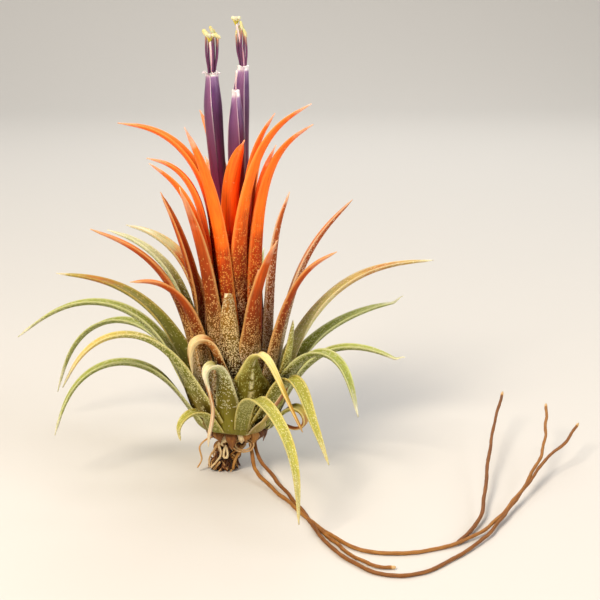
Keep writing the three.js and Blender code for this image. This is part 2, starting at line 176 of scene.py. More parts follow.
def evenly(points, count, divisions=200):
    """count + 1 points along the rounded curve through the points, the same length apart."""
    fine = [through(points, i / divisions) for i in range(divisions + 1)]
    reached = [0]
    for here, there in zip(fine, fine[1:]):
        reached.append(reached[-1] + (there - here).length)
    spaced = []
    k = 0
    for i in range(count + 1):
        wanted = reached[-1] * i / count
        while k < divisions - 1 and reached[k + 1] < wanted:
            k += 1
        spaced.append(fine[k].lerp(fine[k + 1], (wanted - reached[k]) / (reached[k + 1] - reached[k])))
    return spaced


def lofted(rings, around, first=0):
    """The faces of a closed body through rings of points, whose points are numbered from first."""
    faces = []
    for i in range(rings - 1):
        for j in range(around):
            a = first + i * around + j
            b = first + i * around + (j + 1) % around
            faces.append((a, b, b + around, a + around))
    faces.append(tuple(range(first, first + around)))
    faces.append(tuple(range(first + (rings - 1) * around, first + rings * around)))
    return faces


def make_piece(name, points, faces, material, stands_for, slot, **attributes):
    """A smooth piece from points in millimetres. It rides on the root and stands for a solid."""
    mesh = bpy.data.meshes.new(name)
    mesh.from_pydata([Vector(p) * 0.001 for p in points], [], faces)
    for label, values in attributes.items():
        if isinstance(values[0], (int, float)):
            mesh.attributes.new(label, "FLOAT", "POINT").data.foreach_set("value", values)
        else:
            flat = [number for value in values for number in value]
            mesh.attributes.new(label, "FLOAT_VECTOR", "POINT").data.foreach_set("vector", flat)
    skin = bmesh.new()
    skin.from_mesh(mesh)
    bmesh.ops.recalc_face_normals(skin, faces=skin.faces)
    skin.to_mesh(mesh)
    mesh.shade_smooth()
    mesh.materials.append(material)
    piece = bpy.data.objects.new(name, mesh)
    scene.collection.objects.link(piece)
    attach(piece, "root")
    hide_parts(stands_for)
    return piece


# Corky stem tissue: dull tan with a grain 1 mm across, darker in its pits.
cork, node = start_material("corky_stem", Roughness=0.85)
place = node("TexCoord", out="Object")
grain = node("TexNoise", {"Vector": place, "Scale": 900.0, "Detail": 5.0, "Roughness": 0.65})
stain = node("ValToRGB", [grain], stops={0.3: "#4a3a1c", 0.55: "#8a7840", 0.75: "#b8a468"})
relief = node("Bump", {"Height": grain, "Strength": 0.6, "Distance": 0.0002})
finish_material(cork, stain, relief)

crown_line = [(r, 0, z) for r, z in CROWN_OUTLINE]
crown_rings = []
for centre in evenly(crown_line, CROWN_DOWN)[1:]:
    for k in range(CROWN_AROUND):
        turn = k / CROWN_AROUND * 2 * math.pi
        scar = math.sin(centre.z * 2 * math.pi / SCAR_PITCH + 3 * turn) * SCAR_DEPTH
        spot = (centre.x * math.cos(turn) / 2, centre.x * math.sin(turn) / 2, centre.z / 2)
        reach = centre.x - CROWN_INSET + min(SCAR_RIM, scar + noise(spot) * LUMP_DEPTH)
        crown_rings.append((reach * math.cos(turn), reach * math.sin(turn), centre.z))
make_piece("crown_stem", crown_rings, lofted(CROWN_DOWN, CROWN_AROUND), cork, "crown", "stem")

# Each leaf grew from the crown as one piece: a thin sheath that hugs the crown, running into a channelled
# blade that narrows to a soft point. The inner leaves of a plant in flower flush orange red, the rest stay
# bronze or green, and silvery scales coat them all, thickest on the outside and low down.
ATTACH = (0.2, 0.84)  # share of the crown's outline where the innermost and the outermost leaf sit
SEAT = 0.3  # mm between a sheath and the crown
THICKNESS = {"sheath": 0.62, "blade": 1, "tip": 0.62}
SHEATH = {"inner": 5, "outer": 10.6, "oldest": 5.2}
BLADE = {"inner": 6.1, "outer": 4.4, "tip": 0.8, "dry": 1.3}
SHEATH_WRAP = 1.25  # most that a sheath wraps round the crown, in radians
SHEATH_SHARES = (-0.08, 0.46)  # shares of a leaf between which its sheath narrows to the blade
CROWN_LENGTH = 27.4  # mm down the crown's outline
CROWN_DIVISIONS = 200
CHANNEL = 0.46  # radius of a blade's channel as a share of its width
WANDER = 0.7  # mm that a blade strays from its course at most
RIPPLE = 0.05  # by how much a leaf's width varies
FOOT_RINGS = 8
STATIONS = 60
STEPS = 4  # steps of the centre line between two stations
AROUND = 24  # a multiple of 4, so that points lie on the middle line
USUAL_FORM = {"sharpness": 1.7, "dry": 2, "swing": 0.7, "twist": 0, "flare": 1.5, "sway": 0, "hook": 0}
LEAVES = [  # finish, azimuth, turn, length, lean at root and tip, where it bends, what sets it apart
    ("red", 311, 42, 56, -1, 34, 0.84),
    ("red", 128, 0, 56, -3, 38, 0.78),
    ("red", 262, 60, 51, -1, 28, 0.85, {"twist": -50, "taper": 9, "blade": 5}),
    ("red", 45, 0, 51, -3, 36, 0.82),
    ("red", 176.3, -4, 64.5, -4.8, 84, 0.74),
    ("red", 344, 4, 50, -2, 27, 0.84),
    ("red", 92, 0, 55, -2, 45, 0.8),
    ("red", 200, -15, 53, -0.9, 78, 0.83, {"sheath": 4.9}),
    ("red", 282, 61, 66, 1.8, 61, 0.8),
    ("red", 227.6, -24.6, 52, 4.8, 54, 0.8, {"sheath": 4.8}),
    ("red", 317, 20, 61, 0, 59, 0.81),
    ("red", 112, 0, 50, 2, 55, 0.75),
    ("red", 260.4, -44, 59, 4.7, 26, 0.72, {"twist": 34, "taper": 5, "sheath": 4.4, "blade": 4.2}),
    ("bronze", 158, 12, 42, 8.5, 22, 0.6),
    ("bronze", 306.5, 0, 26, 3, 5, 0.6),
    ("bronze", 76, 0, 46, 6, 60, 0.65),
    ("bronze", 240, -20, 47, 6.8, 20, 0.65),
    ("scurfy", 341, 10, 44, 2, 20, 0.8),
    ("greening", 137, 16, 44.1, 11.5, 83, 0.67),
    ("bronze", 293, 33, 37, 7.8, 28, 0.72),
    ("green", 108, 0, 42, 14, 70, 0.6),
    ("bronze", 220.6, -11, 36.2, 9.5, 87, 0.72),
    ("frosted", 162.2, 5.1, 44, 9.6, 73, 0.66),
    ("scurfy", 6.6, -7, 47.5, 9.8, 43, 0.65),
    ("umber", 264.4, 0, 29, 6, 96, 0.88, {"sharpness": 3, "taper": 2, "sheath": 6.6, "blade": 7.4}),
    ("bronze", 328.4, 22.2, 39, 9.7, 62, 0.75),
    ("bronze", 198.7, -6.5, 48.6, 7.4, 66, 0.63),
    ("green", 78, 6, 42, 18, 85, 0.55),
    ("rusty", 258.6, -66, 26.4, 14.6, 182, 0.68,
     {"sharpness": 4.4, "swing": 0.5, "taper": 6, "sheath": 5, "blade": 5}),
    ("tanned", 23.2, -10.1, 51.9, 27.5, 89, 0.58),
    ("olive", 147.3, 9, 50.3, 35.1, 90, 0.54, {"flare": 1.05}),
    ("lime", 342, 1, 20, 19, 4, 0.5),
    ("green", 27.7, -2.6, 40.4, 40, 84, 0.49, {"flare": 1.15, "hook": 1.2}),
    ("gold", 289.6, 40, 35.6, 7, 150, 0.44,
     {"sharpness": 6.4, "foot": 7, "taper": 1.5, "blade": 3.7, "sheath": 10, "flare": 1.7}),
    ("green", 325, -1.2, 38.8, 28.4, 166, 0.59, {"sharpness": 2.4}),
    ("scorched", 262, -56, 34, 17, 182, 0.44,
     {"sharpness": 9, "dry": 0.52, "swing": 0.5, "sheath": 6, "flare": 1, "foot": 5, "sway": 1.3}),
    ("green", 86, 0, 42, 34, 102, 0.5),
    ("green", 184.9, -13.2, 56.8, 17, 129, 0.54),
    ("green", 353.2, -8.9, 36.9, 24.7, 110, 0.53, {"hook": 1.4}),
    ("faded", 222.2, -23, 48.9, 20, 153, 0.63),
    ("green", 98, 0, 44, 42, 125, 0.5),
    ("lime", 313.6, -8, 36.8, 27, 146, 0.43, {"sharpness": 5, "flare": 1.2, "foot": 2}),
    ("lime", 278.2, 23.6, 53.7, 42.5, 178, 0.55, {"sheath": 3.6, "flare": 0.9, "foot": 0.5}),
    ("green", 137.9, 17.9, 64.3, 41.7, 161, 0.55),
    ("green", 199.8, -5.1, 48.4, 28.6, 164, 0.55),
    ("lime", 240, -25.6, 17, 34, 190, 0.65, {"sheath": 4.6, "flare": 1, "foot": 1}),
    ("dry", 300, 24, 17, 46, 34, 0.4, {"sheath": 3.4, "dry": 0.25, "flare": 1, "foot": 1}),
    ("curled", 338, -8, 21, 35, 290, 0.53,
     {"sharpness": 2.2, "dry": 0.6, "sheath": 4, "flare": 1, "foot": 1}),
]
SCALE_PITCH = (0.32, 0.38)  # mm across and along a leaf. Real scales are half as wide, too fine to show
SCALE_HEIGHT = 0.00008
SCALE_COVER = 0.92  # how far a scale hides the skin
SCALE_PAINTED_SHADE = 0.16  # how far the painted shade between crowded leaves darkens a scale
HAZE = 0.04  # silver dust between the scales


def mix(low, high, share):
    return low + (high - low) * share


def ease(value, low, high):
    """From 0 at low to 1 at high, level at both ends."""
    share = min(1, max(0, (value - low) / (high - low)))
    return share * share * (3 - 2 * share)


def leaf_material(name, outside, inside, rim, scales, cover, deep, glow=None, keel=None):
    """Living leaf: a waxy skin that light sinks into, under silvery scales. cover is how much of the outside
    they coat at the foot, a third of the way, two thirds and the tip of the leaf, and scales is their colour
    there. deep is painted shade: two tints multiplied into the skin, and a little into the scales, between
    crowded leaves. glow is how far red, green and blue light sink in, and keel is the colour of a painted
    highlight down the middle of the sheath. A leaf without glow is dead: dull and papery."""
    constants = {**LIVING, "Subsurface_Radius": glow} if glow else {"Roughness": 0.7}
    made, node = start_material(name, **constants)
    labels = ("along", "across", "outer", "shelter")
    along, across, outer, shelter = (node("Attribute", out="Fac", attribute_name=label) for label in labels)
    skin = node("Attribute", out="Vector", attribute_name="skin")
    # The colours drift up and down the leaf by a tenth of its length.
    patches = node("TexNoise", {"Vector": skin, "Scale": 0.28, "Detail": 3.0})
    drift = node("MapRange", [patches, 0, 1, -0.12, 0.12])
    place = node("Math", [along, drift], operation="ADD")
    back = node("ValToRGB", [place], stops=outside)
    front = node("ValToRGB", [place], stops=inside)
    flesh = node("Mix", {0: outer, 6: front, 7: back}, out=2, data_type="RGBA")
    # Veins run the length of the leaf, about 0.35 mm apart.
    fibre = node("VectorMath", [skin, (2.9, 0.16, 1)], operation="MULTIPLY")
    veins = node("TexNoise", {"Vector": fibre, "Scale": 1.0, "Detail": 3.0})
    shade = node("MapRange", [veins, 0.3, 0.7, 0.74, 1.2])
    veined = node("VectorMath", {0: flesh, 3: shade}, operation="SCALE")
    edge = node("MapRange", [across, 0.7, 0.97], interpolation_type="SMOOTHSTEP")
    edge_share = node("Math", [edge, 0.7], operation="MULTIPLY")
    rimmed = node("Mix", {0: edge_share, 6: veined, 7: linear(rim)}, out=2, data_type="RGBA")
    drifts = node("TexNoise", {"Vector": skin, "Scale": 0.9, "Detail": 3.0, "Roughness": 0.65})
    # Painted highlight: a pale broken line down the middle of the sheath's lower part, where its ridge catches
    # light.
    if keel:
        ridge = node("MapRange", [across, 0.17, 0.03], interpolation_type="SMOOTHSTEP")
        low = node("MapRange", [place, 0.46, 0.38])
        highlight_breaks = node("MapRange", [drifts, 0.42, 0.52])
        line = node("Math", [ridge, highlight_breaks], operation="MULTIPLY")
        keel_highlight = node("Math", [line, low], operation="MULTIPLY")
        rimmed = node("Mix", {0: keel_highlight, 6: rimmed, 7: linear(keel)}, out=2, data_type="RGBA")
    # Scales: small ragged shields of many sizes, each in its own cell, some left out at random.
    ragged = node("TexNoise", {"Vector": skin, "Scale": 3.4, "Detail": 1.0}, out="Color")
    shift = node("VectorMath", [ragged, (0.34, 0.42, 0.5), skin], operation="MULTIPLY_ADD")
    cells = node("VectorMath", [shift, (1 / SCALE_PITCH[0], 1 / SCALE_PITCH[1], 1)], operation="MULTIPLY")
    crowd = {"Vector": cells, "Scale": 1.0, "Randomness": 0.85}
    distance = node("TexVoronoi", crowd, voronoi_dimensions="2D")
    draw = node("TexVoronoi", crowd, out="Color", voronoi_dimensions="2D")
    size = node("MapRange", [draw, 0.2, 0.8, 0.5, 0.32])
    gap = node("Math", [size, distance], operation="SUBTRACT")
    shield = node("MapRange", [gap, 0.0, 0.14])
    grey = {i / 3: "#" + f"{round(255 * share):02x}" * 3 for i, share in enumerate(cover)}
    coat = node("ValToRGB", [place], stops=grey)
    side = node("MapRange", [outer, 0, 1, 0.5])
    clump = node("MapRange", [drifts, 0.35, 0.62, 0.35, 1.25])
    thick = node("Math", [coat, side], operation="MULTIPLY")
    patchy = node("Math", [thick, clump], operation="MULTIPLY")
    coated = node("Math", [patchy, edge_share, patchy], operation="MULTIPLY_ADD")
    kept = node("Math", [draw, coated], operation="LESS_THAN")
    scale = node("Math", [shield, kept], operation="MULTIPLY")
    silver = node("ValToRGB", [place], stops={i / 3: scales[i] for i in range(4)})
    haze = node("Math", [coated, HAZE], operation="MULTIPLY")
    dusted = node("Mix", {0: haze, 6: rimmed, 7: silver}, out=2, data_type="RGBA")
    # Painted shade: where other leaves stand close, the skin and, a little, the scales are darkened and
    # tinted.
    painted_shade = node("ValToRGB", [shelter], stops={0.1: "#ffffff", 0.36: deep[0], 0.8: deep[1]})
    shaded = node("Mix", {0: 1, 6: dusted, 7: painted_shade}, out=2, data_type="RGBA", blend_type="MULTIPLY")
    scales_in_painted_shade = node("Mix", {0: SCALE_PAINTED_SHADE, 6: silver, 7: painted_shade}, out=2, data_type="RGBA", blend_type="MULTIPLY")
    strength = node("Math", [scale, SCALE_COVER], operation="MULTIPLY")
    colour = node("Mix", {0: strength, 6: shaded, 7: scales_in_painted_shade}, out=2, data_type="RGBA")
    height = node("Math", [veins, 0.35, scale], operation="MULTIPLY_ADD")
    relief = node("Bump", {"Height": height, "Strength": 0.9, "Distance": SCALE_HEIGHT})
    finish_material(made, colour, relief)
    return made


LIVING = {"Roughness": 0.5, "IOR": 1.42, "Subsurface_Weight": 0.2}
LIVING |= {"Subsurface_Scale": 0.0009, "Specular_IOR_Level": 0.22}
LEAF_FINISHES = {  # name, skin outside and inside, rim, scales, their cover, painted shade deep down, glow, keel highlight
    "red": (  # satin orange red that glows where light comes through
        "flushed_leaf",
        {0.08: "#54440f", 0.3: "#6e2e08", 0.46: "#aa3605", 0.62: "#ff7618", 0.92: "#fd7424", 1: "#f9c0a6"},
        {0.06: "#744e1a", 0.28: "#a8440a", 0.48: "#ff6e10", 0.92: "#fd782c", 1: "#f9c0a6"},
        "#fb9a4a", ("#f6efd6", "#d4923e", "#ee7e32", "#f8b890"), (1.0, 0.85, 0.34, 0.05),
        # Its painted shade between crowded leaves is pale and orange, painting the light that comes through
        # them.
        ("#ffdcc0", "#f09050"), (1.0, 0.34, 0.1),
    ),
    "bronze": (  # matte brown red, dusted white at its foot
        "bronze_leaf",
        {0: "#a89c5c", 0.16: "#86763c", 0.34: "#683408", 0.55: "#863106", 0.8: "#c04e0e", 1: "#e8b890"},
        {0: "#6a6020", 0.3: "#84460e", 0.6: "#c45410", 0.95: "#da7428", 1: "#e8b890"},
        "#cfa464", ("#f6efd6", "#dcae6c", "#c47830", "#e0a868"), (1.0, 0.9, 0.36, 0.12),
        ("#ecd8b8", "#a8845c"), (0.9, 0.4, 0.15),
    ),
    "scurfy": (  # dull, furred nearly white by its scales
        "bronze_leaf_under_thick_scales",
        {0: "#a09868", 0.2: "#8c7848", 0.45: "#7c4820", 0.7: "#983e0e", 0.9: "#b0541c", 1: "#e8c8a8"},
        {0: "#6a6020", 0.3: "#84460e", 0.6: "#c45410", 0.95: "#da7428", 1: "#e8c8a8"},
        "#e0c8a0", ("#faf4e0", "#ecd8bc", "#dcb48c", "#e8c09c"), (1.0, 1.0, 0.75, 0.3),
        ("#f0e0c8", "#b49878"), (0.9, 0.4, 0.15),
    ),
    "greening": (  # bronze that turns grey green past its middle
        "bronze_leaf_with_green_end",
        {0: "#8c843c", 0.16: "#706226", 0.34: "#7c440e", 0.58: "#c05e16", 0.72: "#b8b078", 1: "#e4e2c8"},
        {0: "#6a6020", 0.3: "#84460e", 0.58: "#c45e18", 0.72: "#bcb47c", 1: "#e4e2c8"},
        "#d0b078", ("#f6efd6", "#dcae6c", "#d8d4a4", "#e8e6d0"), (1.0, 0.9, 0.5, 0.6),
        ("#ecd8b8", "#a8845c"), (0.9, 0.4, 0.15),
    ),
    "umber": (  # dull dark brown with a cream tip
        "brown_leaf_with_pale_tip",
        {0: "#6a601c", 0.2: "#4e4010", 0.5: "#74561a", 0.8: "#98641e", 0.92: "#c89850", 1: "#f6ecc0"},
        {0: "#6a6020", 0.3: "#74561a", 0.8: "#98641e", 0.92: "#c89850", 1: "#f6ecc0"},
        "#cfb070", ("#f6efd6", "#ecd8a4", "#e8c888", "#fbf4d0"), (1.0, 1.0, 1.0, 0.9),
        ("#d4b48c", "#70502c"), (0.8, 0.5, 0.15),
    ),
    "green": (  # matte olive, silvery, with a whitish point
        "scurfy_green_leaf",
        {0: "#84802a", 0.2: "#6a681e", 0.55: "#6c7628", 0.88: "#94984e", 0.98: "#efe8d4"},
        {0: "#84802a", 0.4: "#7e882c", 0.85: "#a2a850", 0.98: "#efe8d4"},
        "#d6da9c", ("#dcd8a0", "#c6c492", "#c0c08a", "#dcd8b0"), (0.5, 0.95, 0.95, 0.85),
        ("#d8ca94", "#84743c"), (0.5, 0.6, 0.15),
    ),
    "frosted": (  # pale grey green all along
        "silvery_green_leaf",
        {0: "#84802a", 0.3: "#787c30", 0.6: "#a4a870", 0.9: "#c4c69a", 1: "#e4e0c4"},
        {0: "#84802a", 0.3: "#787c30", 0.6: "#acb078", 0.9: "#c4c69a", 1: "#e4e0c4"},
        "#dcdab0", ("#dcd8a0", "#dcdaac", "#dcdcb4", "#e8e4c8"), (0.5, 0.95, 0.9, 0.7),
        ("#d8ca94", "#84743c"), (0.5, 0.6, 0.2),
    ),
    "tanned": (  # silvery green with a rust brown stretch. Its outside is painted lighter than its inside: partly painted light on the side the lamps reach less
        "sunburnt_green_leaf",
        {0: "#b8b464", 0.28: "#ccc888", 0.48: "#d4c688", 0.7: "#b87830", 0.9: "#bc9c50", 1: "#ece4c8"},
        {0: "#a8a450", 0.35: "#bab670", 0.52: "#c4b66c", 0.76: "#b87834", 0.92: "#bca258", 1: "#ece4c8"},
        "#e0d09c", ("#e8e0b4", "#e4dcb0", "#e0c898", "#ece6c4"), (0.6, 0.95, 0.8, 0.6),
        ("#ece4c0", "#b0a468"), (0.7, 0.5, 0.15),
    ),
    "olive": (  # dark olive crossed by a brown band
        "olive_leaf_with_brown_band",
        {0: "#6c681c", 0.35: "#666a1e", 0.64: "#7a7428", 0.76: "#a8641c", 0.92: "#a89c48", 1: "#efe8d4"},
        {0: "#6c681c", 0.4: "#6e6c22", 0.64: "#80742a", 0.76: "#ac681e", 0.92: "#ac9c4c", 1: "#efe8d4"},
        "#b49c50", ("#dcd8a0", "#b8b06c", "#c0a060", "#e4deaa"), (0.5, 0.8, 0.6, 0.4),
        ("#d8ca94", "#84743c"), (0.7, 0.5, 0.15),
    ),
    "faded": (  # green that pales to straw, with a grey point
        "leaf_fading_at_its_end",
        {0: "#806c28", 0.25: "#6c6c22", 0.55: "#7e8630", 0.74: "#c8b060", 0.86: "#d8b878", 0.94: "#a8a08c"},
        {0: "#706a1c", 0.4: "#7c8428", 0.7: "#bca850", 0.84: "#e0bc78", 0.94: "#b4ac98"},
        "#d8d08c", ("#e8e0b4", "#dcd898", "#e4d69c", "#e4deaa"), (0.2, 0.9, 0.8, 0.3),
        ("#e0d4a4", "#988850"), (0.6, 0.6, 0.15),
    ),
    "curled": (  # yellow green that ends brown and papery
        "leaf_with_curled_dry_end",
        {0: "#74702a", 0.3: "#9a9a38", 0.46: "#b8a848", 0.56: "#a8703a", 0.8: "#84482a", 1: "#b89a70"},
        {0: "#7e7a2a", 0.35: "#aaa840", 0.5: "#c0a450", 0.58: "#b07a44", 0.8: "#8c5030", 1: "#c0a47c"},
        "#dcd08c", ("#e8e4b4", "#eae4a8", "#e0c898", "#e8dcc0"), (0.7, 0.5, 0.3, 0.3),
        ("#b0a068", "#3c3414"), (0.6, 0.6, 0.15),
    ),
    "lime": (  # yellow green in full light
        "sunlit_green_leaf",
        {0: "#7c7a2a", 0.3: "#828230", 0.6: "#928e3a", 0.92: "#a89e50", 1: "#dccb96"},
        {0: "#7e7a2a", 0.35: "#98963a", 0.8: "#b0aa48", 1: "#dccb96"},
        "#dcc878", ("#d4d090", "#d2cf88", "#d6d28c", "#e4deac"), (0.6, 0.9, 1.0, 0.9),
        ("#b0a068", "#3c3414"), (0.6, 0.6, 0.15),
    ),
    "gold": (  # green that turns straw and ochre, with a painted highlight down its keel
        "yellowing_leaf",
        {0: "#807a22", 0.28: "#6a5c14", 0.42: "#bcb05c", 0.6: "#e8d888", 0.86: "#dca63c", 1: "#c07a34"},
        {0: "#74742c", 0.34: "#b4b454", 0.46: "#ecdf9c", 0.68: "#eed878", 0.86: "#e2a63c", 1: "#c07a34"},
        "#efdc9a", ("#b8b468", "#b8b868", "#f4e8a8", "#ecc07c"), (0.5, 0.8, 0.4, 0.2),
        ("#d8ca94", "#84743c"), (0.8, 0.6, 0.15), "#e6dfae",
    ),
    "scorched": (  # green that pales to cream and ends in brown paper
        "leaf_with_dead_tip",
        {0: "#847c24", 0.3: "#6a5e14", 0.44: "#c4c890", 0.55: "#e6dfc0", 0.62: "#b87438", 1: "#e3cdb0"},
        {0: "#74702a", 0.34: "#8f9650", 0.45: "#dcdcb4", 0.56: "#ece4c8", 0.63: "#b87438", 1: "#e3cdb0"},
        "#dcd6ae", ("#e8e0b4", "#dcdcb0", "#e0b888", "#ecd8b8"), (0.3, 0.8, 0.35, 0.2),
        ("#e0d4a4", "#988850"), (0.6, 0.5, 0.15),
    ),
    "rusty": (  # green below and rusty brown at its fold
        "leaf_turning_brown",
        {0: "#645c18", 0.3: "#6c6a20", 0.46: "#84501c", 0.6: "#b87434", 0.7: "#e0c48c", 1: "#f0e2b4"},
        {0: "#706a1c", 0.28: "#74641e", 0.45: "#944e18", 0.6: "#bc7030", 0.7: "#e6cc96", 1: "#f0e2b4"},
        "#d8bc84", ("#e8e0b4", "#dcd098", "#e0b878", "#ece0b8"), (1.0, 0.8, 0.4, 0.3),
        ("#a88458", "#34200f"), (0.6, 0.5, 0.15),
    ),
    "dry": (  # dull straw brown that no light sinks into
        "dried_leaf",
        {0: "#8c7434", 0.3: "#a4964a", 0.6: "#a37444", 0.85: "#8a5636", 1: "#d8bc94"},
        {0: "#8c7434", 0.5: "#b98a54", 1: "#d8bc94"},
        "#dcc79c", ("#e0d4a8", "#e0cc9c", "#dcc498", "#e8dcc0"), (0.4, 0.3, 0.3, 0.2),
        ("#a08860", "#342412"),
    ),
}
LEAF_SLOTS = {"red": "leaf_red", "dry": "stem"}  # and leaf_green for the rest
LEAF_SLOTS |= dict.fromkeys(("bronze", "scurfy", "greening", "umber"), "leaf_bronze")
leaf_finishes = {finish: leaf_material(*look) for finish, look in LEAF_FINISHES.items()}


def bending(share, bend, sharpness):
    """The share of the bending that is done by a share of the leaf's length."""
    before = share**sharpness
    after = (bend / (1 - bend)) ** sharpness * (1 - share) ** sharpness
    return before / (before + after)


def leaf_width(share, form):
    """The width of a leaf at a share of its length: wide in its sheath, and thin where it is dry."""
    blade, foot = form["blade"], form["flare"] * form["sheath"]
    full = blade * max(0, 1 - share ** form["taper"]) ** 0.9
    full += (foot - blade) * (1 - ease(share, *SHEATH_SHARES))
    shrivelled = mix(full, min(full, BLADE["dry"]), ease(share, form["dry"] - 0.12, form["dry"] + 0.08))
    return max(BLADE["tip"], shrivelled) * mix(1, 0.3, ease(share, 0.95, 1))


def make_leaf(rank, colour, azimuth, turn, length, root_lean, tip_lean, bend, form=None):
    """A leaf from its seat on the crown to its tip, as a thin closed body with points on its middle line."""
    outward = rank / (len(LEAVES) - 1)
    sheath = mix(mix(SHEATH["inner"], SHEATH["outer"], outward**2), SHEATH["oldest"], ease(outward, 0.78, 1))
    by_rank = {"sheath": sheath, "blade": mix(BLADE["inner"], BLADE["outer"], outward)}
    by_rank |= {"taper": mix(4.8, 2.1, outward), "foot": mix(1, 5, outward)}
    form = {**USUAL_FORM, **by_rank, **(form or {})}
    line = evenly(crown_line, CROWN_DIVISIONS)
    at = mix(*ATTACH, outward) * CROWN_DIVISIONS
    root = line[int(at)].lerp(line[int(at) + 1], at % 1)
    downhill = (line[int(at) + 1] - line[int(at) - 1]).normalized()
    normal = math.atan2(-downhill.z, downhill.x)
    lift = SEAT + THICKNESS["sheath"] / 2 * abs(math.sin(normal - math.radians(root_lean)))
    reach = root.x + lift * math.sin(normal)
    heading = math.radians(azimuth)
    centre = Vector((reach * math.cos(heading), reach * math.sin(heading), root.z + lift * math.cos(normal)))

    def course(share):
        """The leaf's lean, its direction and its crosswise direction at a share of its length."""
        lean = math.radians(mix(root_lean, tip_lean, bending(share, bend, form["sharpness"])))
        facing = math.radians(azimuth + turn * ease(share, 0, form["swing"]))
        run = Vector((math.sin(lean) * math.cos(facing), math.sin(lean) * math.sin(facing), math.cos(lean)))
        roll = Quaternion(run, math.radians(form["twist"]) * ease(share, 0.15, form["swing"]))
        return lean, run, roll @ Vector((-math.sin(facing), math.cos(facing), 0))

    points, along, across, outer, skin = [], [], [], [], []

    def add_ring(share, middle, level, inward, width, curl, thick):
        """A ring of the leaf's surface: its back, its channelled front and two thin edges."""
        for k in range(AROUND):
            angle = k / AROUND * 2 * math.pi
            u = -math.cos(angle)
            bow = u * width * curl / 2
            out = level * math.sin(bow) - inward * math.cos(bow)
            spot = middle + level * (math.sin(bow) / curl) + inward * ((1 - math.cos(bow)) / curl)
            points.append(spot + out * (thick / 2 * math.sin(angle) * (1 - 0.35 * abs(u))))
            along.append(share)
            across.append(abs(u))
            outer.append(0.5 + 0.5 * math.sin(angle))
            salt = rank * 13 + (4 if angle > math.pi else 0)
            skin.append((u * width / 2 + rank * 17, share * length, salt))

    # Below its seat the sheath clings to the crown and thins out.
    for i in range(FOOT_RINGS):
        down = 1 - i / FOOT_RINGS
        place = min(at + down * form["foot"] / CROWN_LENGTH * CROWN_DIVISIONS, CROWN_DIVISIONS - 2)
        spot = line[int(place)].lerp(line[int(place) + 1], place % 1)
        uphill = (line[int(place)] - line[int(place) + 1]).normalized()
        run = Vector((uphill.x * math.cos(heading), uphill.x * math.sin(heading), uphill.z))
        level = Vector((-math.sin(heading), math.cos(heading), 0))
        inward = run.cross(level)
        thick = mix(0.3, THICKNESS["sheath"], 1 - down)
        cling = mix(0.05, lift, (1 - down) ** 0.5)
        middle = Vector((spot.x * math.cos(heading), spot.x * math.sin(heading), spot.z)) - inward * cling
        width = min(leaf_width(0, form), SHEATH_WRAP * spot.x)
        width *= mix(0.62, 1, math.sin((1 - down) * math.pi / 2))
        add_ring(-down * form["foot"] / length, middle, level, inward, width, 1 / spot.x, thick)
    for i in range(STATIONS):
        share = i / (STATIONS - 1)
        lean, run, level = course(share)
        inward = run.cross(level)
        from_axis = math.hypot(centre.x, centre.y)
        width = min(leaf_width(share, form), SHEATH_WRAP * from_axis)
        width *= 1 + RIPPLE * noise((share * 5, rank * 3.7, 0)) * ease(share, 0, 0.1)
        curl = mix(max(0.01, math.cos(lean)) / from_axis, 1 / (CHANNEL * width), ease(share, 0.12, 0.45))
        if share < 0.4:
            thick = mix(THICKNESS["sheath"], THICKNESS["blade"], share / 0.4)
        else:
            thick = mix(THICKNESS["blade"], THICKNESS["tip"], (share - 0.4) / 0.6)
        thick *= mix(1, 0.35, ease(share, 0.95, 1))
        # A living blade isn't dead straight: past its sheath it wanders a little.
        wander = level * noise((share * 3.1, rank * 5.3, 4)) * WANDER * ease(share, 0.4, 0.9)
        wander.x += form["sway"] * math.sin(math.pi * ease(share, 0.46, 1))
        wander.z += form["hook"] * ease(share, 0.93, 1)
        add_ring(share, centre + wander, level, inward, width, curl, thick)
        for k in range(STEPS):
            ahead = min(1, share + (k + 0.5) / STEPS / (STATIONS - 1))
            centre = centre + course(ahead)[1] * (length / (STATIONS - 1) / STEPS)
    faces = lofted(FOOT_RINGS + STATIONS, AROUND)
    number = f"{rank + 1:02d}"
    slot = LEAF_SLOTS.get(colour, "leaf_green")
    looks = {"along": along, "across": across, "outer": outer, "skin": skin}
    finish = leaf_finishes[colour]
    return make_piece(f"leaf_blade_{number}", points, faces, finish, f"leaf_{number}", slot, **looks)


blades = [make_leaf(rank, *leaf) for rank, leaf in enumerate(LEAVES)]

# Painted shade: deep between the leaves the skin's colour is darkened. A point's shelter is the share of
# the directions before it in which another leaf stands close.
SHELTER_REACH = 0.010  # metres
SHELTER_RAYS = 14
SHELTER_LIFT = 0.00015  # metres that a ray starts above the skin
corners, sides = [], []
for blade in blades:
    first = len(corners)
    corners += [corner.co for corner in blade.data.vertices]
    sides += [[first + k for k in side.vertices] for side in blade.data.polygons]
thicket = BVHTree.FromPolygons(corners, sides)
sphere = []
for k in range(SHELTER_RAYS):
    height = 1 - (2 * k + 1) / SHELTER_RAYS
    turn = k * math.pi * (3 - 5**0.5)
    level = (1 - height * height) ** 0.5
    sphere.append(Vector((level * math.cos(turn), level * math.sin(turn), height)) * 0.98)
for blade in blades:
    shelter = []
    for corner in blade.data.vertices:
        start = corner.co + corner.normal * SHELTER_LIFT
        met = [thicket.ray_cast(start, corner.normal + away, SHELTER_REACH)[3] for away in sphere]
        shelter.append(sum(1 - far / SHELTER_REACH for far in met if far is not None) / SHELTER_RAYS)
    blade.data.attributes.new("shelter", "FLOAT", "POINT").data.foreach_set("value", shelter)

